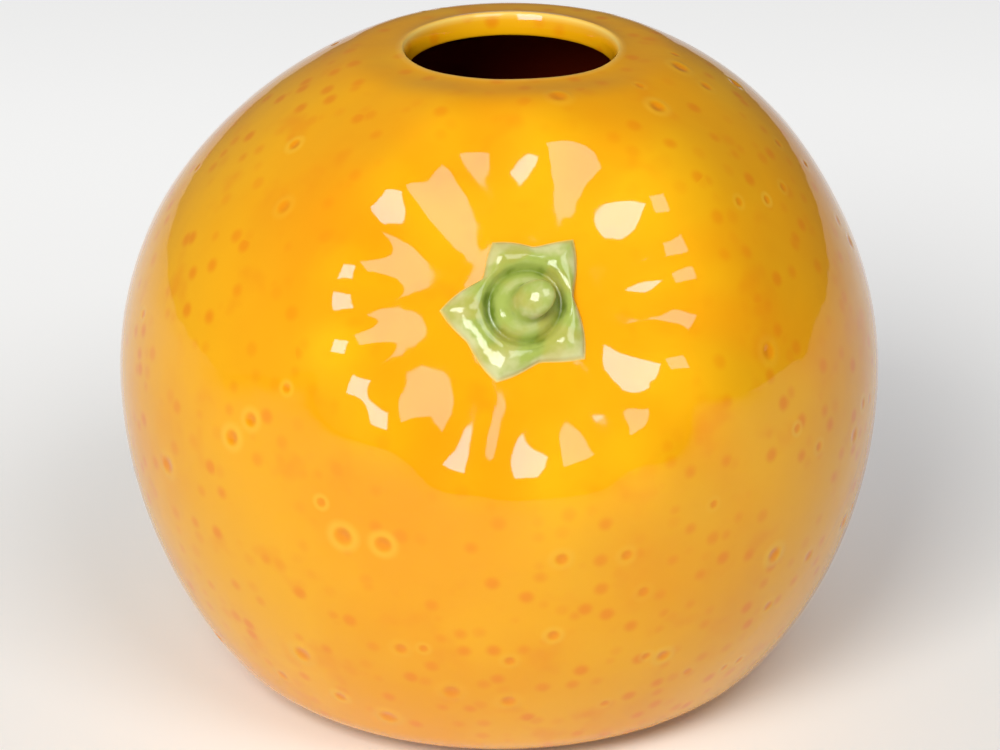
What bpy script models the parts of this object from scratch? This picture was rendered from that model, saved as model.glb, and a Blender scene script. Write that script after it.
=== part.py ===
"""Flower vase in the shape of an orange, slip-cast in one piece.

A hollow ceramic body with a flat foot, a round mouth at the top and, on its front (-Y), a moulded
five-pointed calyx with a short leaning stem stub. Units are metres, +Z is up, and the origin is at
the middle of the foot, on the surface that the vase stands on.
"""
import math

import bmesh
import bpy
from mathutils import Vector

# Body
BODY_RADIUS = 0.0650          # widest, at the equator
EQUATOR_HEIGHT = 0.0537       # from the foot to the widest ring
CROWN_RISE = 0.0615           # semi-axis of the upper half
BELLY_DROP = 0.0722           # semi-axis of the lower half, which the foot cuts short
FOOT_FILLET = 0.0178          # round between the lower half and the foot
WALL = 0.0040                 # the same everywhere, as slip-casting leaves it

# Foot
FOOT_RING_WIDTH = 0.0080      # flat ring that touches the table
FOOT_RECESS = 0.0012          # how far the middle of the base is raised
FOOT_STEP_RUN = 0.0016        # width of the slope from the ring to the raised middle

# Mouth
MOUTH_RADIUS = 0.0182         # where the outside turns down into the lip
LIP_BULGE = 0.0004            # how far the lip stands out from the cut through the wall
MOUTH_LEAN = 0.0019           # how far the mouth sits towards +X
LEAN_START = 0.4              # share of the crown's rise from which it leans
MOUTH_SETTLE = 0.0019         # how far the crown sinks towards the mouth
SETTLE_REACH = 0.0100         # width of the ring over which it sinks

# Surface waves
SWELL_DEPTH = 0.0005          # slow swelling all round the body
SWELL_FADE = 0.5              # share of the height over which it dies away towards foot and mouth
SWELL_WAVES = (               # share of the depth, waves round the body, start and twist in radians
    (0.5, 2, 0.7, 1.8),
    (0.35, 3, 0.0, -2.6),
)

# Hollow round the calyx, and the ribs that radiate over its edge with folds between them
HOLLOW_DEPTH = 0.0060         # of its middle below the round body
HOLLOW_FLAT = 0.0260          # radius out to which the body is flattened
HOLLOW_END = 0.0470           # radius where the body is round again
RIBS = (                      # angle, crest's distance, height, half width in degrees, runs in and out
    (9, 0.026, 0.0013, 9, 0.0060, 0.0180),
    (38, 0.027, 0.0022, 16, 0.0060, 0.0180),
    (80, 0.028, 0.0014, 15, 0.0080, 0.0080),
    (111, 0.033, 0.0009, 9, 0.0080, 0.0075),
    (133, 0.028, 0.0015, 11, 0.0080, 0.0075),
    (165, 0.026, 0.0017, 11, 0.0060, 0.0075),
    (192, 0.028, 0.0015, 10, 0.0070, 0.0075),
    (222, 0.028, 0.0017, 14, 0.0070, 0.0075),
    (254, 0.028, 0.0007, 9, 0.0080, 0.0075),
    (283, 0.028, 0.0015, 15, 0.0070, 0.0140),
    (310, 0.029, 0.0014, 12, 0.0080, 0.0160),
    (337, 0.026, 0.0023, 13, 0.0060, 0.0180),
)

# Calyx and stem stub. Angles are seen from outside, from its right, in degrees.
CALYX_ELEVATION = 31.9        # of its middle above the equator
CALYX_AZIMUTH = 2.7           # of its middle from the front towards +X
CALYX_TIPS = ((-38.5, 0.0137), (51.0, 0.0137), (111.5, 0.0112), (182.0, 0.0120), (255.0, 0.0124))
CALYX_HOLLOWS = ((9.0, 0.0090), (77.0, 0.0099), (140.0, 0.0072), (216.0, 0.0095), (291.0, 0.0097))
CALYX_HEIGHT = 0.0016         # of the star above the body
CALYX_DEPTH = 0.0016          # of its underside below the surface, inside the wall
TIP_SHARPNESS = 1.5           # above 1 the sides of each point curve inwards
RING_OFFSET = (0.0013, 0.0001)      # middle of the stub from the middle of the star
GROOVE_RADIUS = 0.0057        # ring-shaped groove around the stub's mound
GROOVE_HALF_WIDTH = 0.0010
GROOVE_FLOOR = 0.0003         # height of the groove's floor above the body
MOUND_RADIUS = 0.0044
MOUND_EDGE_HEIGHT = 0.0011    # where the mound turns down into the groove
MOUND_HEIGHT = 0.0014         # at the root of the stub
STUB_RADIUS = 0.0030
STUB_HEIGHT = 0.0058          # from the body to the top of the domed stub
STUB_LEAN = (0.0026, 0.0008)  # of the stub's top from its root

# Mesh resolution
SEGMENTS = 72
FRONT_BIAS = 0.45             # above 0 the segments are closer together at the front
OUTER_ROWS_UP = 18
OUTER_ROWS_DOWN = 12
FILLET_ROWS = 5
LIP_ROWS = 5
INNER_STRIDE = 2              # the inside takes every second row of the outside
CALYX_STEPS = 5               # steps from each hollow of the star to the next point
DOME_STEPS = 3                # rows of faces over the stub's dome
SMOOTH_ANGLE = math.radians(38)

GLAZE_COLOUR = (0.90, 0.33, 0.010, 1.0)
GLAZE_ROUGHNESS = 0.06


def solve(function, low, high, rounds=60):
    """Root of a rising function between low and high, by halving."""
    for _ in range(rounds):
        middle = 0.5 * (low + high)
        if function(middle) > 0:
            high = middle
        else:
            low = middle
    return 0.5 * (low + high)


def ease(value):
    """Smooth step from 0 to 1."""
    value = min(max(value, 0.0), 1.0)
    return value * value * (3.0 - 2.0 * value)


# ---------------------------------------------------------------- profile of the outside

def crown_point(angle):
    """Point (radius, height) on the upper half; angle 0 is the equator."""
    radius = BODY_RADIUS * math.cos(angle)
    settled = MOUTH_SETTLE * ease((MOUTH_RADIUS + SETTLE_REACH - radius) / SETTLE_REACH)
    return radius, EQUATOR_HEIGHT + CROWN_RISE * math.sin(angle) - settled


def crown_normal(angle):
    """Outward normal of the upper half, from the slope between two close points."""
    step = 1e-4
    radius_a, height_a = crown_point(angle - step)
    radius_b, height_b = crown_point(angle + step)
    along = math.hypot(radius_b - radius_a, height_b - height_a)
    return (height_b - height_a) / along, (radius_a - radius_b) / along


def belly_normal(angle):
    across = math.cos(angle) / BODY_RADIUS
    down = -math.sin(angle) / BELLY_DROP
    length = math.hypot(across, down)
    return across / length, down / length


def belly_point(angle):
    return BODY_RADIUS * math.cos(angle), EQUATOR_HEIGHT - BELLY_DROP * math.sin(angle)


def fillet_angle():
    """Angle on the lower half where the foot's fillet leaves it."""
    def centre_below(angle):
        return FOOT_FILLET - (belly_point(angle)[1] - FOOT_FILLET * belly_normal(angle)[1])
    return solve(centre_below, 0.0, math.asin(min(1.0, EQUATOR_HEIGHT / BELLY_DROP)))


def outside_profile():
    """Rows (radius, height, normal radius, normal height) from the mouth down to the foot's middle."""
    mouth_angle = math.acos(MOUTH_RADIUS / BODY_RADIUS)
    rows = []
    for step in range(OUTER_ROWS_UP):
        angle = mouth_angle * (1.0 - step / OUTER_ROWS_UP)
        rows.append((*crown_point(angle), *crown_normal(angle)))
    last_angle = fillet_angle()
    for step in range(OUTER_ROWS_DOWN):
        angle = last_angle * step / OUTER_ROWS_DOWN
        rows.append((*belly_point(angle), *belly_normal(angle)))

    normal = belly_normal(last_angle)
    centre_radius = belly_point(last_angle)[0] - FOOT_FILLET * normal[0]
    start = math.atan2(normal[1], normal[0])
    for step in range(FILLET_ROWS + 1):
        angle = start + (-0.5 * math.pi - start) * step / FILLET_ROWS
        across, up = math.cos(angle), math.sin(angle)
        rows.append((centre_radius + FOOT_FILLET * across, FOOT_FILLET * (1.0 + up), across, up))

    ring_inside = centre_radius - FOOT_RING_WIDTH
    rows.append((ring_inside, 0.0, 0.0, -1.0))
    rows.append((ring_inside - FOOT_STEP_RUN, FOOT_RECESS, 0.0, -1.0))
    return rows


# ---------------------------------------------------------------- calyx frame and surface relief

def calyx_frame():
    """Middle of the calyx on the body, with its right, up and outward directions."""
    azimuth = math.radians(CALYX_AZIMUTH)
    elevation = math.radians(CALYX_ELEVATION)
    way = Vector((math.sin(azimuth) * math.cos(elevation), -math.cos(azimuth) * math.cos(elevation),
                  math.sin(elevation)))
    flat = math.hypot(way.x, way.y) / BODY_RADIUS
    middle = way / math.hypot(flat, way.z / CROWN_RISE)
    normal = Vector((middle.x / BODY_RADIUS ** 2, middle.y / BODY_RADIUS ** 2,
                     middle.z / CROWN_RISE ** 2)).normalized()
    right = Vector((0, 0, 1)).cross(normal).normalized()
    up = normal.cross(right)
    return middle + Vector((0, 0, EQUATOR_HEIGHT)), right, up, normal


MIDDLE, RIGHT, UP, OUT = calyx_frame()


def hollow(distance):
    """Height of the flattened hollow at a distance from its middle, against the round body."""
    def bowl(reach):
        return reach ** 2 / (2.0 * BODY_RADIUS) - HOLLOW_DEPTH
    if distance < HOLLOW_FLAT:
        return bowl(distance)
    if distance > HOLLOW_END:
        return 0.0
    span = HOLLOW_END - HOLLOW_FLAT
    share = (distance - HOLLOW_FLAT) / span
    level = bowl(HOLLOW_FLAT) * (2.0 * share ** 3 - 3.0 * share ** 2 + 1.0)
    slope = HOLLOW_FLAT / BODY_RADIUS * span * (share ** 3 - 2.0 * share ** 2 + share)
    return level + slope


def calyx_relief(place):
    """Height of the hollow and its ribs at a point of the round body."""
    offset = place - MIDDLE
    if offset.dot(OUT) < -HOLLOW_END:
        return 0.0
    across, along = offset.dot(RIGHT), offset.dot(UP)
    distance = math.hypot(across, along)
    angle = math.degrees(math.atan2(along, across))
    height = hollow(distance)
    for rib_angle, crest, rise, half_width, inwards, outwards in RIBS:
        turn = (angle - rib_angle + 180.0) % 360.0 - 180.0
        run = inwards if distance < crest else outwards
        height += rise * math.exp(-(turn / half_width) ** 2 - ((distance - crest) / run) ** 2)
    return height


def swell(azimuth, height):
    """Slow swelling of the body, which dies away at the foot and at the mouth."""
    level = (height - EQUATOR_HEIGHT) / (CROWN_RISE if height > EQUATOR_HEIGHT else EQUATOR_HEIGHT)
    calm = ease((1.0 - abs(level)) / SWELL_FADE)
    wave = sum(share * math.sin(turns * azimuth + start + twist * level)
               for share, turns, start, twist in SWELL_WAVES)
    return SWELL_DEPTH * calm * wave


def lean(height):
    """Sideways place of a ring: the upper part drifts towards +X."""
    level = (height - EQUATOR_HEIGHT) / CROWN_RISE
    return MOUTH_LEAN * ease((level - LEAN_START) / (1.0 - LEAN_START))


# ---------------------------------------------------------------- meshes

def segment_azimuths():
    """Azimuth of each segment from the front towards +X, closer together at the front."""
    turns = [2.0 * math.pi * index / SEGMENTS for index in range(SEGMENTS)]
    return [turn - FRONT_BIAS * math.sin(turn) for turn in turns]


def wall_point(row, azimuth, inwards=0.0, downwards=0.0):
    """Point of the body at a profile row, moved towards the axis and down from its outer surface."""
    radius, height, across, up = row
    way = Vector((math.sin(azimuth), -math.cos(azimuth), 0.0))
    outward = way * across + Vector((0, 0, up))
    place = way * radius + Vector((0, 0, height))
    relief = outward * (swell(azimuth, height) + calyx_relief(place))
    return place + relief - way * inwards + Vector((lean(height), 0, -downwards))


def add_body():
    """Hollow body: one closed skin over the outside, the lip and the inside."""
    mesh = bmesh.new()
    azimuths = segment_azimuths()
    rows = outside_profile()

    def ring(row, inwards=0.0, downwards=0.0):
        return [mesh.verts.new(wall_point(row, azimuth, inwards, downwards)) for azimuth in azimuths]

    rings = [ring(row) for row in reversed(rows)]
    mouth = rows[0]
    for step in range(1, LIP_ROWS):
        turn = math.pi * step / LIP_ROWS
        sunk = 0.5 * WALL * (1.0 - math.cos(turn))
        bulge = LIP_BULGE * math.sin(turn)
        rings.append(ring(mouth, sunk * mouth[2] + bulge * mouth[3], sunk * mouth[3] - bulge * mouth[2]))
    inner_rows = rows[:-2:INNER_STRIDE] + rows[-2:]
    rings += [ring(row, WALL * row[2], WALL * row[3]) for row in inner_rows]

    for lower, upper in zip(rings, rings[1:]):
        for index in range(SEGMENTS):
            following = (index + 1) % SEGMENTS
            mesh.faces.new((lower[index], lower[following], upper[following], upper[index]))
    base_middle = mesh.verts.new((0, 0, FOOT_RECESS))
    floor_middle = mesh.verts.new((0, 0, FOOT_RECESS + WALL))
    for index in range(SEGMENTS):
        following = (index + 1) % SEGMENTS
        mesh.faces.new((base_middle, rings[0][following], rings[0][index]))
        mesh.faces.new((floor_middle, rings[-1][index], rings[-1][following]))
    return finish_mesh(mesh, "vase")


def calyx_outline():
    """Star outline as (angle, radius), with a sample on every point and hollow."""
    corners = sorted([(math.radians(a), r, True) for a, r in CALYX_TIPS]
                     + [(math.radians(a), r, False) for a, r in CALYX_HOLLOWS])
    outline = []
    for index, (angle, radius, is_tip) in enumerate(corners):
        next_angle, next_radius, _ = corners[(index + 1) % len(corners)]
        if index == len(corners) - 1:
            next_angle += 2.0 * math.pi
        for step in range(CALYX_STEPS):
            share = step / CALYX_STEPS
            bend = 1.0 - (1.0 - share) ** TIP_SHARPNESS if is_tip else share ** TIP_SHARPNESS
            outline.append((angle + (next_angle - angle) * share, radius + (next_radius - radius) * bend))
    return outline


def on_body(across, along, height):
    """Point at a height above the hollowed body, straight out from the calyx's plane."""
    start = MIDDLE + RIGHT * across + UP * along - Vector((0, 0, EQUATOR_HEIGHT))
    scale = Vector((1.0 / BODY_RADIUS, 1.0 / BODY_RADIUS, 1.0 / CROWN_RISE))
    place, way = start * scale, OUT * scale
    half_b = place.dot(way)
    reach = (-half_b + math.sqrt(half_b ** 2 - way.dot(way) * (place.dot(place) - 1.0))) / way.dot(way)
    surface = start + OUT * reach + Vector((0, 0, EQUATOR_HEIGHT))
    return surface + OUT * (height + calyx_relief(surface)) + Vector((lean(surface.z), 0, 0))


def add_calyx():
    """Star with its ring groove, mound and leaning stub, as one closed lathe-like skin."""
    mesh = bmesh.new()
    outline = calyx_outline()

    # Round rings from the stub's top outwards: radius and height above the body.
    dome_base = STUB_HEIGHT - STUB_RADIUS
    round_rings = []
    for step in range(1, DOME_STEPS + 1):
        turn = 0.5 * math.pi * step / DOME_STEPS
        round_rings.append((STUB_RADIUS * math.sin(turn), dome_base + STUB_RADIUS * math.cos(turn)))
    round_rings += [
        (STUB_RADIUS, MOUND_HEIGHT),
        (MOUND_RADIUS, MOUND_EDGE_HEIGHT),
        (GROOVE_RADIUS, GROOVE_FLOOR),
        (GROOVE_RADIUS + GROOVE_HALF_WIDTH, CALYX_HEIGHT),
    ]
    # Star rings: share of the way from the groove's edge to the outline, and height above the body.
    star_rings = [(0.5, CALYX_HEIGHT), (1.0, CALYX_HEIGHT), (1.0, -CALYX_DEPTH)]

    def round_point(angle, radius, height):
        leaned = max(0.0, (height - MOUND_HEIGHT) / (STUB_HEIGHT - MOUND_HEIGHT))
        across = RING_OFFSET[0] + leaned * STUB_LEAN[0] + radius * math.cos(angle)
        along = RING_OFFSET[1] + leaned * STUB_LEAN[1] + radius * math.sin(angle)
        return across, along

    rings = []
    for radius, height in round_rings:
        rings.append([mesh.verts.new(on_body(*round_point(angle, radius, height), height))
                      for angle, _ in outline])
    for share, height in star_rings:
        ring = []
        for angle, radius in outline:
            inner = round_point(angle, GROOVE_RADIUS + GROOVE_HALF_WIDTH, 0.0)
            across = inner[0] + (radius * math.cos(angle) - inner[0]) * share
            along = inner[1] + (radius * math.sin(angle) - inner[1]) * share
            ring.append(mesh.verts.new(on_body(across, along, height)))
        rings.append(ring)

    count = len(outline)
    for inner, outer in zip(rings, rings[1:]):
        for index in range(count):
            following = (index + 1) % count
            mesh.faces.new((inner[index], outer[index], outer[following], inner[following]))
    top = mesh.verts.new(on_body(*round_point(0.0, 0.0, STUB_HEIGHT), STUB_HEIGHT))
    under = mesh.verts.new(on_body(0.0, 0.0, -CALYX_DEPTH))
    for index in range(count):
        following = (index + 1) % count
        mesh.faces.new((top, rings[0][index], rings[0][following]))
        mesh.faces.new((under, rings[-1][following], rings[-1][index]))
    return finish_mesh(mesh, "calyx")


def finish_mesh(mesh, name):
    """Turn a bmesh into a smooth-shaded object in the scene."""
    data = bpy.data.meshes.new(name)
    mesh.to_mesh(data)
    mesh.free()
    data.shade_smooth()
    data.set_sharp_from_angle(angle=SMOOTH_ANGLE)
    made = bpy.data.objects.new(name, data)
    bpy.context.scene.collection.objects.link(made)
    return made


def glaze_material():
    material = bpy.data.materials.new("orange_glaze")
    material.use_nodes = True
    shader = material.node_tree.nodes["Principled BSDF"]
    shader.inputs["Base Color"].default_value = GLAZE_COLOUR
    shader.inputs["Roughness"].default_value = GLAZE_ROUGHNESS
    shader.inputs["Metallic"].default_value = 0.0
    return material


def main():
    for old in list(bpy.data.objects):
        bpy.data.objects.remove(old, do_unlink=True)
    vase = add_body()
    vase.data.materials.append(glaze_material())
    calyx = add_calyx()
    calyx.hide_render = True
    calyx.display_type = "WIRE"
    join = vase.modifiers.new("calyx", "BOOLEAN")
    join.operation = "UNION"
    join.solver = "EXACT"
    join.object = calyx


main()
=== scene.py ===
"""Looks of the orange-shaped vase: glazed body, moulded calyx, unglazed foot, floor, lights and camera.

The body is one closed mesh: its outside, with the folds round the calyx and the pits in the glaze, its
rounded lip and its inside. The calyx is a second closed mesh that grows out of it.
"""
import math
import random

import bpy
import numpy as np
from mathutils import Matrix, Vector


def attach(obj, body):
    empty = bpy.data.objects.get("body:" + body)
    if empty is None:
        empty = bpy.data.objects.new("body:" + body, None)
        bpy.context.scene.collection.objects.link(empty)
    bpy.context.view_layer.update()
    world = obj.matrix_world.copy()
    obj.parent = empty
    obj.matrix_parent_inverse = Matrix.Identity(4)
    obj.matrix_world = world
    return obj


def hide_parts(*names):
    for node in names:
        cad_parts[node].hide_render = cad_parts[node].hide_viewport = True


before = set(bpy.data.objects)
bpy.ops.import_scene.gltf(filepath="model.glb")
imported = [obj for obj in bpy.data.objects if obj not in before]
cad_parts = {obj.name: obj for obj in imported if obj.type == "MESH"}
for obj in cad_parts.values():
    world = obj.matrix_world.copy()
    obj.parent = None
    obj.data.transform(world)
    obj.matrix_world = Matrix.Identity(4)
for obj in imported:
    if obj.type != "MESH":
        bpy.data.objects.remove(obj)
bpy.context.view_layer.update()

# ---------------------------------------------------------------- sizes of the vase, in metres
BODY_RADIUS = 0.0650
EQUATOR_HEIGHT = 0.0537
CROWN_RISE = 0.0615
BELLY_DROP = 0.0722
FOOT_FILLET = 0.0178
WALL = 0.0040
FOOT_RING_WIDTH = 0.0080
FOOT_RECESS = 0.0012
FOOT_STEP_RUN = 0.0016
MOUTH_RADIUS = 0.0182
LIP_BULGE = 0.0004
MOUTH_LEAN = 0.0019
LEAN_START = 0.4
MOUTH_SETTLE = 0.0019
SETTLE_REACH = 0.0100
SWELL_DEPTH = 0.0005
SWELL_FADE = 0.5
SWELL_WAVES = ((0.5, 2, 0.7, 1.8), (0.35, 3, 0.0, -2.6))

# Calyx, with angles seen from outside, from its right, in degrees
CALYX_ELEVATION = 31.9
CALYX_AZIMUTH = 2.7
CALYX_TIPS = ((-38.5, 0.0137), (51.0, 0.0137), (111.5, 0.0112), (182.0, 0.0120), (255.0, 0.0124))
CALYX_HOLLOWS = ((9.0, 0.0090), (77.0, 0.0099), (140.0, 0.0072), (216.0, 0.0095), (291.0, 0.0097))
TIP_SHARPNESS = 1.5
CALYX_HEIGHT = 0.0016
CALYX_DEPTH = 0.0016
RING_OFFSET = (0.0013, 0.0001)
STUB_LEAN = (0.0026, 0.0008)
STUB_HEIGHT = 0.0058
STUB_RADIUS = 0.0030
MOUND_HEIGHT = 0.0014
STUB_DOME = 0.8               # height of the stub's round top, in stub radii
STUB_ROWS = 13
PETAL_ROWS = 18
PETAL_DROOP = 0.0008          # how much lower the tips are than the groove's edge
PETAL_CROWN = 0.00015         # bulge of the petals between the groove and the rim
PETAL_RIDGE = 0.00022         # rise of the ridge along each petal
RIDGE_HALF_WIDTH = 9.0        # of that ridge, in degrees
RIM_START = 0.84              # share of a petal where its rim starts to roll down
RIM_ROLL = 0.0004
RIM_TINT_START = 0.93         # share of a petal where the orange of its side starts to show: body glaze, partly painted light on the shaded side
GROOVE_SECTION = (            # from the stub's foot outwards: radius, height, depth of green
    (0.00302, 0.0030, 0.42),
    (0.00308, 0.0024, 0.55),
    (0.0033, 0.0019, 0.50),
    (0.0037, 0.00165, 0.42),
    (0.0042, 0.00150, 0.45),
    (0.0046, 0.00128, 0.55),
    (0.0050, 0.00090, 0.75),
    (0.0054, 0.00050, 0.95),
    (0.0057, 0.00032, 1.00),
    (0.0060, 0.00040, 0.92),
    (0.0063, 0.00075, 0.75),
    (0.0066, 0.00120, 0.62),
    (0.0069, 0.00150, 0.55),
    (0.0072, CALYX_HEIGHT, 0.50),
)
STAR_SIDE = ((1.012, 0.0004), (1.018, 0.0), (1.018, -0.0006), (1.0, -CALYX_DEPTH))   # share, height

# Hollow round the calyx, and the ribs that radiate over its edge with folds between them
HOLLOW_DEPTH = 0.0060
HOLLOW_FLAT = 0.0260
HOLLOW_END = 0.0470
FOLD_FILL = 0.0013            # rib height at which a fold is filled
GUTTER_DEPTH = 0.00004        # of the shallow line where the glaze meets the star
GUTTER_WIDTH = 0.0014
RIBS = (                      # angle, crest's distance, height, half width in degrees, runs in and out
    (9, 0.026, 0.0013, 9, 0.0060, 0.0180),
    (38, 0.027, 0.0022, 16, 0.0060, 0.0180),
    (80, 0.028, 0.0014, 15, 0.0080, 0.0080),
    (111, 0.033, 0.0009, 9, 0.0080, 0.0075),
    (133, 0.028, 0.0015, 11, 0.0080, 0.0075),
    (165, 0.026, 0.0017, 11, 0.0060, 0.0075),
    (192, 0.028, 0.0015, 10, 0.0070, 0.0075),
    (222, 0.028, 0.0017, 14, 0.0070, 0.0075),
    (254, 0.028, 0.0007, 9, 0.0080, 0.0075),
    (283, 0.028, 0.0015, 15, 0.0070, 0.0140),
    (310, 0.029, 0.0014, 12, 0.0080, 0.0160),
    (337, 0.026, 0.0023, 13, 0.0060, 0.0180),
)

# Faint ripples of the glaze round the calyx: waves across and upwards in radians per metre, start, height
RIPPLES = (
    (520.0, 190.0, 0.4, 0.00002),
    (-310.0, 480.0, 2.1, 0.00002),
    (150.0, -610.0, 4.0, 0.000015),
)
RIPPLE_END = 0.045            # distance from the calyx's middle where they have died away
RIPPLE_FADE = 0.012

# Pits in the glaze, with a pale halo round each
PIT_COUNT = 150
PIT_SEED = 7
PIT_REACH = 3.0               # radii of a pit over which its field is kept
PIT_SMALLEST = 0.0008
PIT_GROWTH = 0.0008           # from the smallest radius to the largest
PIT_SHALLOWEST = 0.10         # depth in pit radii
PIT_DEEPENING = 0.12          # from the shallowest to the deepest
PIT_SPACING = 1.5             # least distance between pits, in the sum of their radii
PIT_RIM_HEIGHT = 0.22         # of the raised rim, in pit depths
PIT_BAND = 0.006              # height above and below a row in which its pits are looked for
PIT_FREE = 0.026              # distance from the calyx's middle without pits
PIT_THINNING = 0.022          # run over which they become common
PIT_LIP_GAP = 0.008
PIT_FOOT_GAP = 0.003

# Where the colours change: distances in metres, and shares of the lip from outside to inside
FRECKLE_FREE = 0.024
FRECKLE_RUN = 0.016
FRECKLE_LEAST = 0.1           # strength of the freckles beside the calyx
# Pale line on the lip's crest: a glaze break where the glaze runs thin, partly a painted highlight
THIN_MIDDLE = 0.10
THIN_HALF_WIDTH = 0.16
THIN_EDGE = (0.15, 0.45)      # of the last two rows outside the lip
# run below the lip over which the painted shade of the inside comes in
INSIDE_SHADE_RUN = 0.0016

# Resolution
SEGMENTS = 600
FRONT_BIAS = 0.35
OUTER_ROWS = 236
INNER_ROWS = 30
LIP_ROWS = 10
PROFILE_SAMPLES = 600
CALYX_STEPS = 16


def ease(value):
    """Smooth step from 0 to 1."""
    value = np.clip(value, 0.0, 1.0)
    return value * value * (3.0 - 2.0 * value)


def solve(function, low, high, rounds=60):
    """Root of a rising function between low and high, by halving."""
    for _ in range(rounds):
        middle = 0.5 * (low + high)
        if function(middle) > 0:
            high = middle
        else:
            low = middle
    return 0.5 * (low + high)


# ---------------------------------------------------------------- profile of the body

def crown_point(angle):
    radius = BODY_RADIUS * math.cos(angle)
    settled = MOUTH_SETTLE * float(ease((MOUTH_RADIUS + SETTLE_REACH - radius) / SETTLE_REACH))
    return radius, EQUATOR_HEIGHT + CROWN_RISE * math.sin(angle) - settled


def crown_normal(angle):
    step = 1e-4
    radius_a, height_a = crown_point(angle - step)
    radius_b, height_b = crown_point(angle + step)
    along = math.hypot(radius_b - radius_a, height_b - height_a)
    return (height_b - height_a) / along, (radius_a - radius_b) / along


def belly_point(angle):
    return BODY_RADIUS * math.cos(angle), EQUATOR_HEIGHT - BELLY_DROP * math.sin(angle)


def belly_normal(angle):
    across = math.cos(angle) / BODY_RADIUS
    down = -math.sin(angle) / BELLY_DROP
    length = math.hypot(across, down)
    return across / length, down / length


def outside_curve():
    """Closely spaced (radius, height, normal radius, normal height) from the foot ring to the mouth."""
    def fillet_gap(angle):
        return FOOT_FILLET - (belly_point(angle)[1] - FOOT_FILLET * belly_normal(angle)[1])

    low_angle = solve(fillet_gap, 0.0, math.asin(min(1.0, EQUATOR_HEIGHT / BELLY_DROP)))
    high_angle = math.acos(MOUTH_RADIUS / BODY_RADIUS)
    normal = belly_normal(low_angle)
    fillet_centre = belly_point(low_angle)[0] - FOOT_FILLET * normal[0]
    turn_end = math.atan2(normal[1], normal[0])

    curve = []
    for share in np.linspace(0.0, 1.0, PROFILE_SAMPLES // 4, endpoint=False):
        turn = -0.5 * math.pi + (turn_end + 0.5 * math.pi) * share
        across, up = math.cos(turn), math.sin(turn)
        curve.append((fillet_centre + FOOT_FILLET * across, FOOT_FILLET * (1.0 + up), across, up))
    for share in np.linspace(1.0, 0.0, PROFILE_SAMPLES // 2, endpoint=False):
        angle = low_angle * share
        curve.append((*belly_point(angle), *belly_normal(angle)))
    for share in np.linspace(0.0, 1.0, PROFILE_SAMPLES):
        angle = high_angle * share
        curve.append((*crown_point(angle), *crown_normal(angle)))
    return np.array(curve)


def resample(curve, count):
    """Rows at even distances along a curve, first and last included."""
    steps = np.hypot(np.diff(curve[:, 0]), np.diff(curve[:, 1]))
    travelled = np.concatenate([[0.0], np.cumsum(steps)])
    places = np.linspace(0.0, travelled[-1], count)
    return np.stack([np.interp(places, travelled, curve[:, k]) for k in range(curve.shape[1])], axis=1)


# ---------------------------------------------------------------- frame of the calyx

def calyx_frame():
    """Middle of the calyx on the round body, with its right, up and outward directions."""
    azimuth, elevation = math.radians(CALYX_AZIMUTH), math.radians(CALYX_ELEVATION)
    way = Vector((math.sin(azimuth) * math.cos(elevation), -math.cos(azimuth) * math.cos(elevation),
                  math.sin(elevation)))
    flat = math.hypot(way.x, way.y) / BODY_RADIUS
    middle = way / math.hypot(flat, way.z / CROWN_RISE)
    normal = Vector((middle.x / BODY_RADIUS ** 2, middle.y / BODY_RADIUS ** 2,
                     middle.z / CROWN_RISE ** 2)).normalized()
    right = Vector((0, 0, 1)).cross(normal).normalized()
    up = normal.cross(right)
    middle = middle + Vector((0, 0, EQUATOR_HEIGHT))
    return tuple(np.array(part) for part in (middle, right, up, normal))


MIDDLE, RIGHT, UP, OUT = calyx_frame()


def calyx_plane(points):
    """Distance from the calyx's axis, angle round it in radians, and whether a point is on its side."""
    offset = points - MIDDLE
    across, along = offset @ RIGHT, offset @ UP
    return np.hypot(across, along), np.arctan2(along, across), offset @ OUT > -HOLLOW_END


def calyx_corners():
    """Points and hollows of the star in order: angle, radius, and whether it is a point."""
    corners = [(math.radians(a) % (2 * math.pi), r, True) for a, r in CALYX_TIPS]
    corners += [(math.radians(a) % (2 * math.pi), r, False) for a, r in CALYX_HOLLOWS]
    return sorted(corners)


def star_radius(angles):
    """Radius of the star's outline at each angle; the sides of its points curve inwards."""
    angles = np.asarray(angles) % (2 * math.pi)
    corners = calyx_corners()
    radii = np.zeros_like(angles)
    for index, (start, radius, is_tip) in enumerate(corners):
        end, next_radius, _ = corners[(index + 1) % len(corners)]
        end = end if end > start else end + 2 * math.pi
        turned = np.where(angles >= start, angles, angles + 2 * math.pi)
        share = (turned - start) / (end - start)
        inside = (share >= 0.0) & (share < 1.0)
        share = np.clip(share, 0.0, 1.0)
        bend = 1.0 - (1.0 - share) ** TIP_SHARPNESS if is_tip else share ** TIP_SHARPNESS
        radii = np.where(inside, radius + (next_radius - radius) * bend, radii)
    return radii


# ---------------------------------------------------------------- relief of the body

def swell(azimuth, height):
    level = (height - EQUATOR_HEIGHT) / np.where(height > EQUATOR_HEIGHT, CROWN_RISE, EQUATOR_HEIGHT)
    calm = ease((1.0 - np.abs(level)) / SWELL_FADE)
    wave = sum(share * np.sin(turns * azimuth + start + twist * level)
               for share, turns, start, twist in SWELL_WAVES)
    return SWELL_DEPTH * calm * wave


def hollow(distance):
    """Height of the flattened hollow at distances from its middle, against the round body."""
    span = HOLLOW_END - HOLLOW_FLAT
    share = np.clip((distance - HOLLOW_FLAT) / span, 0.0, 1.0)
    edge = HOLLOW_FLAT ** 2 / (2.0 * BODY_RADIUS) - HOLLOW_DEPTH
    level = edge * (2.0 * share ** 3 - 3.0 * share ** 2 + 1.0)
    slope = HOLLOW_FLAT / BODY_RADIUS * span * (share ** 3 - 2.0 * share ** 2 + share)
    return np.where(distance < HOLLOW_FLAT, distance ** 2 / (2.0 * BODY_RADIUS) - HOLLOW_DEPTH, level + slope)


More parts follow.
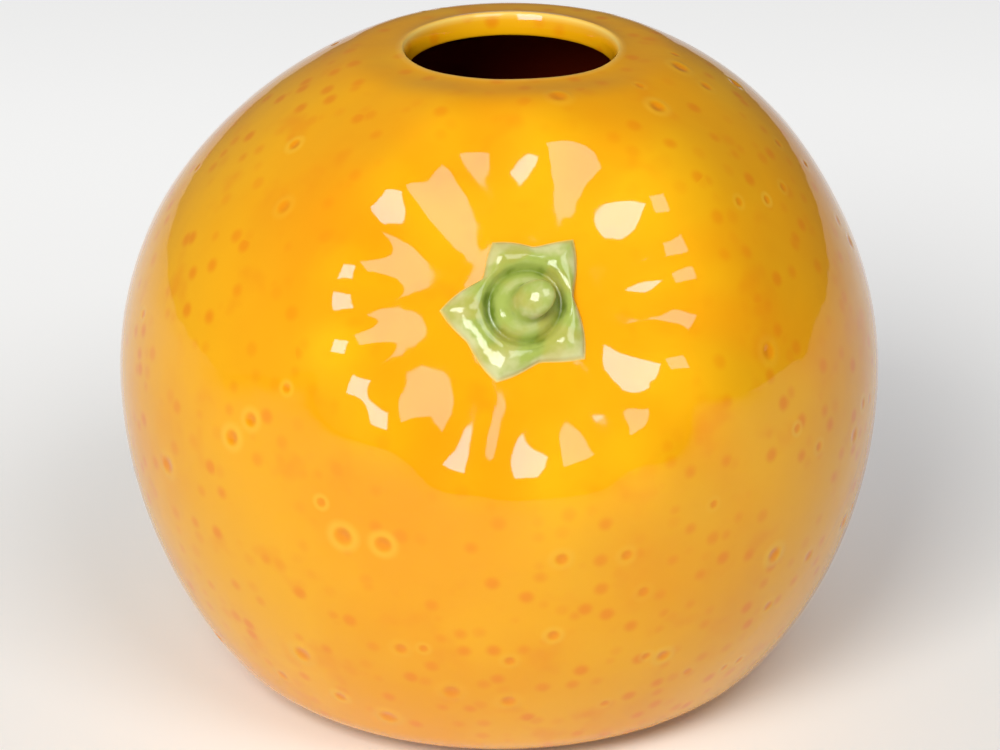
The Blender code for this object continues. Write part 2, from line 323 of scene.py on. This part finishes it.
def calyx_relief(points):
    """Height of the hollow and its ribs at points of the round body, and how deep a fold is there."""
    distance, angle, near = calyx_plane(points)
    angle = np.degrees(angle)
    ribs = np.zeros(distance.shape)
    crest_level = np.zeros(distance.shape)
    for rib_angle, crest, rise, half_width, inwards, outwards in RIBS:
        turn = (angle - rib_angle + 180.0) % 360.0 - 180.0
        run = np.where(distance < crest, inwards, outwards)
        along = np.exp(-((distance - crest) / run) ** 2)
        ribs += rise * along * np.exp(-(turn / half_width) ** 2)
        crest_level = np.maximum(crest_level, along)
    fold = np.clip(crest_level - ribs / FOLD_FILL, 0.0, 1.0)
    return np.where(near, hollow(distance) + ribs, 0.0), np.where(near, fold, 0.0)


def ripple(points):
    """Height of the faint ripples round the calyx."""
    distance, angle, near = calyx_plane(points)
    across, along = distance * np.cos(angle), distance * np.sin(angle)
    waves = sum(height * np.sin(sideways * across + upwards * along + start)
                for sideways, upwards, start, height in RIPPLES)
    return np.where(near, waves * ease((RIPPLE_END - distance) / RIPPLE_FADE), 0.0)


def lean(height):
    level = (height - EQUATOR_HEIGHT) / CROWN_RISE
    return MOUTH_LEAN * ease((level - LEAN_START) / (1.0 - LEAN_START))


def placed(rows, azimuths, offsets):
    """Points of profile rows at all azimuths, their outward directions, and the round body under them."""
    way = np.stack([np.sin(azimuths), -np.cos(azimuths), np.zeros_like(azimuths)], axis=-1)[None]
    radius, height, across, up = (rows[:, k, None, None] for k in range(4))
    axis = np.array([0.0, 0.0, 1.0])
    round_points = way * radius + axis * height
    outward = way * across + axis * up
    moved = way * offsets[:, 0, None, None] + axis * offsets[:, 1, None, None]
    return round_points, outward, round_points + moved


# ---------------------------------------------------------------- pits

def scatter_pits(curve):
    """Seeded pits over the outside: middle, radius, depth and tint, none near the calyx or the lip."""
    draw = random.Random(PIT_SEED)
    steps = np.hypot(np.diff(curve[:, 0]), np.diff(curve[:, 1]))
    weight = np.concatenate([[0.0], np.cumsum(steps * curve[1:, 0])])
    pits = []
    tries = 0
    while len(pits) < PIT_COUNT and tries < 40 * PIT_COUNT:
        tries += 1
        share = draw.random() * weight[-1]
        azimuth = draw.random() * 2 * math.pi
        size = draw.random()
        tint = draw.random()
        radius = PIT_SMALLEST + PIT_GROWTH * size ** 1.6
        ring, height = (np.interp(share, weight, curve[:, k]) for k in range(2))
        middle = np.array([math.sin(azimuth) * ring, -math.cos(azimuth) * ring, height])
        distance = np.linalg.norm(middle - MIDDLE)
        room = ease((distance - PIT_FREE) / PIT_THINNING)
        by_lip = height > EQUATOR_HEIGHT and ring < MOUTH_RADIUS + PIT_LIP_GAP
        if draw.random() > room or by_lip or height < PIT_FOOT_GAP:
            continue
        if any(np.linalg.norm(middle - other[0]) < PIT_SPACING * (radius + other[1]) for other in pits):
            continue
        pits.append((middle, radius, (PIT_SHALLOWEST + PIT_DEEPENING * tint) * radius, tint))
    return pits


def pit_fields(points, pits):
    """For each point: distance to the nearest pit in pit radii, that pit's tint, and the dent's depth."""
    shape = points.shape[:2]
    field = np.full(shape, PIT_REACH)
    tint = np.zeros(shape)
    dent = np.zeros(shape)
    middles = np.array([pit[0] for pit in pits])
    for row in range(shape[0]):
        low = points[row, :, 2].min() - PIT_BAND
        high = points[row, :, 2].max() + PIT_BAND
        for index in np.nonzero((middles[:, 2] > low) & (middles[:, 2] < high))[0]:
            middle, radius, depth, strength = pits[index]
            away = np.linalg.norm(points[row] - middle, axis=1) / radius
            near = away < field[row]
            field[row] = np.where(near, away, field[row])
            tint[row] = np.where(near, strength, tint[row])
            bowl = -(1.0 - ease(away / 1.05)) + PIT_RIM_HEIGHT * np.exp(-((away - 1.25) / 0.28) ** 2)
            dent[row] += depth * bowl
    return field, tint, dent


# ---------------------------------------------------------------- body mesh

def add_mesh(name, points, faces, attributes, face_materials=None):
    """Smooth-shaded object from points and faces, with one float attribute for each name."""
    data = bpy.data.meshes.new(name)
    data.from_pydata(points.tolist(), [], faces)
    for key, values in attributes.items():
        layer = data.attributes.new(key, "FLOAT", "POINT")
        layer.data.foreach_set("value", np.ascontiguousarray(values, dtype=np.float32))
    if face_materials is not None:
        data.polygons.foreach_set("material_index", np.ascontiguousarray(face_materials, dtype=np.int32))
    data.shade_smooth()
    made = bpy.data.objects.new(name, data)
    bpy.context.scene.collection.objects.link(made)
    return made


def foot_rows(edge):
    """Underside from near its middle to its edge: the recess, a small step and the flat ring."""
    ring_inside = edge - FOOT_RING_WIDTH
    raised = ring_inside - FOOT_STEP_RUN
    line = (
        (raised * 0.5, FOOT_RECESS),
        (raised, FOOT_RECESS),
        (0.5 * (raised + ring_inside), 0.5 * FOOT_RECESS),
        (ring_inside, 0.0),
        (0.5 * (ring_inside + edge), 0.0),
    )
    return np.array([(radius, height, 0.0, -1.0) for radius, height in line])


def lip_steps(mouth):
    """Steps from the outside's last row over the lip, across and up, as a slightly bulging cut."""
    steps = []
    for turn in np.linspace(0.0, math.pi, LIP_ROWS + 1)[1:-1]:
        sunk = 0.5 * WALL * (1.0 - math.cos(turn))
        bulge = LIP_BULGE * math.sin(turn)
        steps.append((-sunk * mouth[2] - bulge * mouth[3], -sunk * mouth[3] + bulge * mouth[2]))
    return np.array(steps)


def ring_indices(row_count, count):
    """Index of each point of the rows, and of the next point round the same row."""
    index = np.arange(row_count * count).reshape(row_count, count)
    return index, np.roll(index, -1, axis=1)


def add_body():
    turns = np.linspace(0.0, 2.0 * math.pi, SEGMENTS, endpoint=False)
    azimuths = turns - FRONT_BIAS * np.sin(turns)
    curve = outside_curve()
    outer = resample(curve, OUTER_ROWS)
    mouth = outer[-1]
    foot = foot_rows(outer[0, 0])
    steps = lip_steps(mouth)
    lip = np.repeat(mouth[None], len(steps), axis=0)
    inner = np.concatenate([resample(curve, INNER_ROWS)[::-1], foot[[3, 1, 0]]])
    first, last = len(foot), len(foot) + len(outer)

    rows = np.concatenate([foot, outer, lip, inner])
    offsets = np.concatenate([np.zeros((last, 2)), steps, -WALL * inner[:, 2:4]])
    round_points, outward, base = placed(rows, azimuths, offsets)
    relief = swell(np.broadcast_to(azimuths, round_points.shape[:2]), round_points[..., 2])
    hollowed, fold = calyx_relief(round_points)
    relief = relief + hollowed + ripple(round_points)

    field = np.full(relief.shape, PIT_REACH)
    tint = np.zeros(relief.shape)
    field[first:last], tint[first:last], dent = pit_fields(round_points[first:last], scatter_pits(curve))
    relief[first:last] += dent

    distance, angle, near = calyx_plane(round_points)
    beside = np.where(near, distance - star_radius(angle), 1.0)
    gutter = np.zeros(relief.shape)
    gutter[first:last] = np.exp(-(beside[first:last] / GUTTER_WIDTH) ** 2)
    relief -= GUTTER_DEPTH * gutter

    points = base + outward * relief[..., None]
    points[..., 0] += lean(round_points[..., 2])
    centres = np.array([[0, 0, FOOT_RECESS], [0, 0, FOOT_RECESS + WALL]])
    flat = np.concatenate([points.reshape(-1, 3), centres])
    base_centre, floor_centre = len(flat) - 2, len(flat) - 1

    index, after = ring_indices(len(rows), SEGMENTS)
    quads = np.stack([index[:-1], after[:-1], after[1:], index[1:]], axis=-1).reshape(-1, 4)
    faces = quads.tolist()
    faces += [(base_centre, b, a) for a, b in zip(index[0].tolist(), after[0].tolist())]
    faces += [(floor_centre, a, b) for a, b in zip(index[-1].tolist(), after[-1].tolist())]
    slots = np.zeros(len(faces), dtype=int)
    slots[:len(foot) * SEGMENTS] = 1
    slots[len(quads):len(quads) + SEGMENTS] = 1

    # Pale line along the lip's crest and the last rows outside it: thin glaze, partly a painted highlight
    thin_glaze_and_highlight = np.zeros(relief.shape)
    lip_share = np.linspace(0.0, 1.0, len(lip))
    thin_glaze_and_highlight[last:last + len(lip)] = np.exp(-((lip_share - THIN_MIDDLE) / THIN_HALF_WIDTH) ** 2)[:, None]
    thin_glaze_and_highlight[last - len(THIN_EDGE):last] = np.array(THIN_EDGE)[:, None]
    # Painted shade: the inside turns dark maroon below the lip, for the shade down in the vase
    inside = np.zeros(relief.shape)
    inside[last + len(lip):] = ease((mouth[1] - inner[:, 1]) / INSIDE_SHADE_RUN)[:, None]
    shown = FRECKLE_LEAST + (1.0 - FRECKLE_LEAST) * ease((distance - FRECKLE_FREE) / FRECKLE_RUN)

    def padded(values, end):
        return np.concatenate([values.reshape(-1), [end, end]])

    attributes = {
        "pit_field": padded(field, PIT_REACH),
        "pit_tint": padded(tint, 0.0),
        "pooled": padded(np.clip(0.4 * gutter + 0.6 * fold, 0.0, 1.0), 0.0),
        "thin_glaze_and_highlight": padded(thin_glaze_and_highlight, 0.0),
        "freckled": padded(np.where(near, shown, 1.0), 0.0),
        "inside": padded(inside, 1.0),
    }
    return add_mesh("vase_body", flat, faces, attributes, slots)


# ---------------------------------------------------------------- calyx mesh

def on_body(across, along, height):
    """Points at heights above the hollowed body, straight out from the calyx's plane."""
    start = MIDDLE + across[..., None] * RIGHT + along[..., None] * UP - np.array([0, 0, EQUATOR_HEIGHT])
    scale = np.array([1.0 / BODY_RADIUS, 1.0 / BODY_RADIUS, 1.0 / CROWN_RISE])
    place, way = start * scale, OUT * scale
    half_b = place @ way
    reach = (-half_b + np.sqrt(half_b ** 2 - way @ way * ((place ** 2).sum(-1) - 1.0))) / (way @ way)
    surface = start + reach[..., None] * OUT + np.array([0, 0, EQUATOR_HEIGHT])
    lifted = surface + (height + calyx_relief(surface)[0])[..., None] * OUT
    lifted[..., 0] += lean(surface[..., 2])
    return lifted


def add_calyx():
    angles = []
    corners = calyx_corners()
    for index, (angle, _, _) in enumerate(corners):
        following = corners[(index + 1) % len(corners)][0]
        following = following if following > angle else following + 2 * math.pi
        angles += [angle + (following - angle) * step / CALYX_STEPS for step in range(CALYX_STEPS)]
    angles = np.array(angles)
    outline = star_radius(angles)

    # Rings from the stub's top outwards: radius, height above the body, depth of green
    dome_base = STUB_HEIGHT - STUB_DOME * STUB_RADIUS
    rings = []
    for turn in np.linspace(0.0, 0.5 * math.pi, STUB_ROWS + 1)[1:]:
        rise = STUB_DOME * STUB_RADIUS * math.cos(turn) ** 0.8
        rings.append((STUB_RADIUS * math.sin(turn) ** 0.85, dome_base + rise, 0.30))
    rings += GROOVE_SECTION

    across_rows, along_rows, height_rows, green_rows = [], [], [], []
    for radius, height, green in rings:
        leaned = max(0.0, (height - MOUND_HEIGHT) / (STUB_HEIGHT - MOUND_HEIGHT))
        across_rows.append(RING_OFFSET[0] + leaned * STUB_LEAN[0] + radius * np.cos(angles))
        along_rows.append(RING_OFFSET[1] + leaned * STUB_LEAN[1] + radius * np.sin(angles))
        height_rows.append(np.full(angles.shape, height))
        green_rows.append(np.full(angles.shape, green))
    inner_across, inner_along = across_rows[-1], along_rows[-1]
    side_rows = [np.zeros(angles.shape) for _ in rings]
    ridge = np.zeros(angles.shape)
    for tip, _ in CALYX_TIPS:
        turn = (np.degrees(angles) - tip + 180.0) % 360.0 - 180.0
        ridge = np.maximum(ridge, np.exp(-(turn / RIDGE_HALF_WIDTH) ** 2))
    for share in np.linspace(0.0, 1.0, PETAL_ROWS + 1)[1:]:
        across_rows.append(inner_across + (outline * np.cos(angles) - inner_across) * share)
        along_rows.append(inner_along + (outline * np.sin(angles) - inner_along) * share)
        lift = CALYX_HEIGHT + PETAL_CROWN * math.sin(math.pi * share) - PETAL_DROOP * share ** 2
        lift -= RIM_ROLL * max(0.0, (share - RIM_START) / (1.0 - RIM_START)) ** 2
        height_rows.append(lift + PETAL_RIDGE * ridge * math.sin(math.pi * share) ** 0.5)
        green_rows.append(0.5 * (1.0 - share) ** 0.9 + 0.12 * (1.0 - ridge) * (1.0 - share))
        # rims and sides turn orange: body glaze, partly painted light on their shaded walls
        rim = max(0.0, (share - RIM_TINT_START) / (1.0 - RIM_TINT_START))
        side_rows.append(np.full(angles.shape, rim * 0.45))
    for share, height in STAR_SIDE:
        across_rows.append(outline * np.cos(angles) * share)
        along_rows.append(outline * np.sin(angles) * share)
        height_rows.append(np.full(angles.shape, height))
        green_rows.append(np.zeros(angles.shape))
        side_rows.append(np.ones(angles.shape))

    points = on_body(np.array(across_rows), np.array(along_rows), np.array(height_rows))
    top = on_body(np.array([RING_OFFSET[0] + STUB_LEAN[0]]), np.array([RING_OFFSET[1] + STUB_LEAN[1]]),
                  np.array([STUB_HEIGHT]))
    under = on_body(np.zeros(1), np.zeros(1), np.array([-CALYX_DEPTH]))
    flat = np.concatenate([points.reshape(-1, 3), top, under])
    index, after = ring_indices(*points.shape[:2])
    faces = np.stack([index[:-1], index[1:], after[1:], after[:-1]], axis=-1).reshape(-1, 4).tolist()
    faces += [(len(flat) - 2, a, b) for a, b in zip(index[0].tolist(), after[0].tolist())]
    faces += [(len(flat) - 1, b, a) for a, b in zip(index[-1].tolist(), after[-1].tolist())]
    green = np.concatenate([np.array(green_rows).reshape(-1), [0.3, 0.0]])
    side = np.concatenate([np.array(side_rows).reshape(-1), [0.0, 1.0]])
    return add_mesh("calyx_and_stub", flat, faces, {"green": green, "side": side})


# ---------------------------------------------------------------- materials

def new_material(name):
    material = bpy.data.materials.new(name)
    material.use_nodes = True
    return material, material.node_tree, material.node_tree.nodes["Principled BSDF"]


def node(tree, kind, **settings):
    made = tree.nodes.new(kind)
    for key, value in settings.items():
        setattr(made, key, value)
    return made


def attribute(tree, name):
    return node(tree, "ShaderNodeAttribute", attribute_type="GEOMETRY", attribute_name=name).outputs["Fac"]


def noise(tree, scale, detail):
    made = node(tree, "ShaderNodeTexNoise")
    coordinates = node(tree, "ShaderNodeTexCoord")
    tree.links.new(coordinates.outputs["Object"], made.inputs["Vector"])
    made.inputs["Scale"].default_value = scale
    made.inputs["Detail"].default_value = detail
    return made.outputs["Fac"]


def remap(tree, value, low, high, to_low=0.0, to_high=1.0):
    made = node(tree, "ShaderNodeMapRange", interpolation_type="SMOOTHSTEP")
    tree.links.new(value, made.inputs["Value"])
    for key, number in (("From Min", low), ("From Max", high), ("To Min", to_low), ("To Max", to_high)):
        made.inputs[key].default_value = number
    return made.outputs["Result"]


def math_node(tree, operation, first, second):
    made = node(tree, "ShaderNodeMath", operation=operation)
    for socket, value in zip(made.inputs, (first, second)):
        if isinstance(value, (int, float)):
            socket.default_value = value
        else:
            tree.links.new(value, socket)
    return made.outputs[0]


def mix(tree, factor, first, second):
    made = node(tree, "ShaderNodeMix", data_type="RGBA")
    tree.links.new(factor, made.inputs[0])
    for socket, value in ((made.inputs[6], first), (made.inputs[7], second)):
        if isinstance(value, tuple):
            socket.default_value = (*value, 1.0)
        else:
            tree.links.new(value, socket)
    return made.outputs[2]


def bump(tree, height, distance):
    made = node(tree, "ShaderNodeBump")
    made.inputs["Distance"].default_value = distance
    made.inputs["Strength"].default_value = 1.0
    tree.links.new(height, made.inputs["Height"])
    return made.outputs["Normal"]


# Colours of the orange glaze
ORANGE = (0.80, 0.350, 0.002)
YELLOW = (0.83, 0.405, 0.004)
DEEP = (0.78, 0.262, 0.002)
FRECKLE = (0.79, 0.272, 0.002)
HALO = (0.84, 0.46, 0.030)
# pale lip line: thin glaze, partly a painted highlight
PALE_LIP_AND_HIGHLIGHT = (0.92, 0.66, 0.16)
# painted shade of the vase's inside
INSIDE_SHADE = (0.28, 0.026, 0.003)
GLAZE_SHEEN = (1.0, 0.45, 0.70)     # tint of mirror reflections that face the viewer

# Colours of the green glaze and of the bare clay
PALE_GREEN = (0.56, 0.56, 0.27)
LEAF_GREEN = (0.34, 0.41, 0.085)
GROOVE_GREEN = (0.12, 0.18, 0.012)
OCHRE = (0.45, 0.37, 0.07)
# orange of the star's sides: the body's glaze, made lighter as painted light on their shaded walls
SIDE_ORANGE = (0.85, 0.50, 0.06)
PALE_CLAY = (0.70, 0.62, 0.50)
DARK_CLAY = (0.60, 0.51, 0.40)

# Sizes of the colour patterns, in repeats per metre
CLOUDS = 34.0
BLOTCHES = 110.0
FRECKLES = 220.0


def cells(tree, scale):
    """Distance to the nearest of scattered points, and a random value for that point."""
    made = node(tree, "ShaderNodeTexVoronoi")
    coordinates = node(tree, "ShaderNodeTexCoord")
    tree.links.new(coordinates.outputs["Object"], made.inputs["Vector"])
    made.inputs["Scale"].default_value = scale
    split = node(tree, "ShaderNodeSeparateColor")
    tree.links.new(made.outputs["Color"], split.inputs[0])
    return made.outputs["Distance"], split.outputs[0]


def orange_glaze():
    material, tree, shader = new_material("orange_glaze")
    field = attribute(tree, "pit_field")
    tint = attribute(tree, "pit_tint")
    colour = mix(tree, remap(tree, noise(tree, CLOUDS, 3.0), 0.36, 0.64), ORANGE, YELLOW)
    colour = mix(tree, remap(tree, noise(tree, BLOTCHES, 2.0), 0.55, 0.80, 0.0, 0.55), colour, DEEP)
    near, chance = cells(tree, FRECKLES)
    freckle = math_node(tree, "MULTIPLY", remap(tree, near, 0.10, 0.40, 1.0, 0.0),
                        remap(tree, chance, 0.0, 0.8, 0.25, 1.0))
    freckle = math_node(tree, "MULTIPLY", freckle, attribute(tree, "freckled"))
    colour = mix(tree, freckle, colour, FRECKLE)
    colour = mix(tree, attribute(tree, "pooled"), colour, DEEP)
    halo = math_node(tree, "MULTIPLY", remap(tree, field, 0.75, 1.35),
                     remap(tree, field, 1.35, 2.3, 1.0, 0.0))
    halo = math_node(tree, "MULTIPLY", halo, remap(tree, tint, 0.1, 1.0, 0.15, 0.65))
    colour = mix(tree, halo, colour, HALO)
    colour = mix(tree, remap(tree, field, 0.45, 1.15, 0.9, 0.0), colour, DEEP)
    # thin glaze on the lip, partly a painted highlight
    colour = mix(tree, math_node(tree, "MULTIPLY", attribute(tree, "thin_glaze_and_highlight"), 0.9), colour, PALE_LIP_AND_HIGHLIGHT)
    # painted shade inside the vase
    colour = mix(tree, attribute(tree, "inside"), colour, INSIDE_SHADE)
    tree.links.new(colour, shader.inputs["Base Color"])
    shader.inputs["Roughness"].default_value = 0.045
    shader.inputs["IOR"].default_value = 1.5
    shader.inputs["Specular Tint"].default_value = (*GLAZE_SHEEN, 1.0)
    ripples = bump(tree, noise(tree, 120.0, 2.0), 0.00010)
    tree.links.new(ripples, shader.inputs["Normal"])
    return material


def bare_clay():
    material, tree, shader = new_material("bare_foot")
    colour = mix(tree, remap(tree, noise(tree, 900.0, 4.0), 0.4, 0.7), PALE_CLAY, DARK_CLAY)
    tree.links.new(colour, shader.inputs["Base Color"])
    shader.inputs["Roughness"].default_value = 0.85
    tree.links.new(bump(tree, noise(tree, 1500.0, 4.0), 0.0001), shader.inputs["Normal"])
    return material


def green_glaze():
    material, tree, shader = new_material("green_glaze")
    green = attribute(tree, "green")
    mottled = math_node(tree, "ADD", green, remap(tree, noise(tree, 240.0, 3.0), 0.35, 0.75, -0.16, 0.26))
    pale = mix(tree, remap(tree, mottled, 0.0, 0.5), PALE_GREEN, LEAF_GREEN)
    colour = mix(tree, remap(tree, mottled, 0.5, 1.10), pale, GROOVE_GREEN)
    ochre = remap(tree, noise(tree, 170.0, 2.0), 0.48, 0.66, 0.0, 0.45)
    colour = mix(tree, ochre, colour, OCHRE)
    # orange sides, partly painted light lifting their shade
    colour = mix(tree, attribute(tree, "side"), colour, SIDE_ORANGE)
    tree.links.new(colour, shader.inputs["Base Color"])
    shader.inputs["Roughness"].default_value = 0.10
    shader.inputs["Specular IOR Level"].default_value = 0.38
    shader.inputs["IOR"].default_value = 1.5
    tree.links.new(bump(tree, noise(tree, 400.0, 2.0), 0.00008), shader.inputs["Normal"])
    return material


def pale_floor():
    """White sweep, lit from below towards its back as a product table is; its colour is darker towards the
    front as painted shade.
    """
    material, tree, shader = new_material("studio_floor")
    coordinates = node(tree, "ShaderNodeTexCoord")
    split = node(tree, "ShaderNodeSeparateXYZ")
    tree.links.new(coordinates.outputs["Object"], split.inputs[0])
    # Painted shade: the floor's colour is grey in front and white towards its back
    back = remap(tree, split.outputs["Y"], -0.50, -0.08)
    colour = mix(tree, back, (0.50, 0.50, 0.50), (0.86, 0.86, 0.86))
    tree.links.new(colour, shader.inputs["Base Color"])
    shader.inputs["Roughness"].default_value = 0.6
    shader.inputs["Emission Color"].default_value = (1.0, 1.0, 1.0, 1.0)
    glow = remap(tree, split.outputs["Y"], -0.14, 0.30, 0.0, 0.42)
    tree.links.new(glow, shader.inputs["Emission Strength"])
    return material


# ---------------------------------------------------------------- studio

CAMERA_ELEVATION = 23.2
CAMERA_DISTANCE = 0.7107
CAMERA_LENS = 149.0
CAMERA_DROP = 0.0022          # how far below the equator's middle the camera aims, across its view

# Azimuth, elevation, distance, width, height, radiance and colour of each light
SOFTBOXES = {
    "key_left": (-22.0, 36.0, 1.1, 0.46, 0.46, 15.5, (1.0, 1.0, 0.96)),
    "fill_right": (28.0, 48.0, 1.1, 0.50, 0.42, 6.3, (1.0, 1.0, 1.0)),
}
FLOOR_HALF_SIZE = 4.0
FLOOR_GAP = 0.0001            # between the foot and the floor


def direction(azimuth, elevation):
    """Unit vector towards an azimuth (0 is the front, positive towards +X) and elevation, in degrees."""
    azimuth, elevation = math.radians(azimuth), math.radians(elevation)
    return Vector((math.sin(azimuth) * math.cos(elevation), -math.cos(azimuth) * math.cos(elevation),
                   math.sin(elevation)))


def add_camera():
    data = bpy.data.cameras.new("camera")
    data.lens = CAMERA_LENS
    data.sensor_width = 36.0
    data.clip_start = 0.01
    camera = bpy.data.objects.new("camera", data)
    back = direction(0.0, CAMERA_ELEVATION)
    turn = back.to_track_quat("Z", "Y")
    up = turn @ Vector((0, 1, 0))
    camera.location = Vector((0, 0, EQUATOR_HEIGHT)) - up * CAMERA_DROP + back * CAMERA_DISTANCE
    camera.rotation_euler = turn.to_euler()
    bpy.context.scene.collection.objects.link(camera)
    bpy.context.scene.camera = camera


def add_softbox(name, azimuth, elevation, distance, width, height, radiance, colour):
    """Rectangular light aimed at the vase. Its power is set from the brightness of its face."""
    data = bpy.data.lights.new(name, "AREA")
    data.shape = "RECTANGLE"
    data.size = width
    data.size_y = height
    data.energy = radiance * math.pi * width * height
    data.color = colour
    light = bpy.data.objects.new(name, data)
    away = direction(azimuth, elevation)
    light.location = Vector((0, 0, EQUATOR_HEIGHT)) + away * distance
    light.rotation_euler = away.to_track_quat("Z", "Y").to_euler()
    bpy.context.scene.collection.objects.link(light)


def add_world():
    """Dim room, a little brighter on the left."""
    world = bpy.data.worlds.new("studio")
    world.use_nodes = True
    tree = world.node_tree
    coordinates = node(tree, "ShaderNodeTexCoord")
    split = node(tree, "ShaderNodeSeparateXYZ")
    tree.links.new(coordinates.outputs["Generated"], split.inputs[0])
    left = remap(tree, split.outputs["X"], -0.9, 0.3, 1.0, 0.0)
    colour = mix(tree, left, (0.10, 0.10, 0.104), (0.20, 0.20, 0.205))
    tree.links.new(colour, tree.nodes["Background"].inputs["Color"])
    bpy.context.scene.world = world


def add_floor(material):
    size = FLOOR_HALF_SIZE
    points = np.array([(-size, -size, 0), (size, -size, 0), (size, size, 0), (-size, size, 0)], dtype=float)
    floor = add_mesh("floor", points, [(0, 1, 2, 3)], {})
    floor.data.materials.append(material)
    floor.location.z = -FLOOR_GAP


def main():
    body = add_body()
    body.data.materials.append(orange_glaze())
    body.data.materials.append(bare_clay())
    calyx = add_calyx()
    calyx.data.materials.append(green_glaze())
    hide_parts("vase")
    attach(body, "root")
    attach(calyx, "root")
    add_floor(pale_floor())
    add_camera()
    for name, values in SOFTBOXES.items():
        add_softbox(name, *values)
    add_world()
    bpy.context.scene.view_settings.view_transform = "Standard"


main()
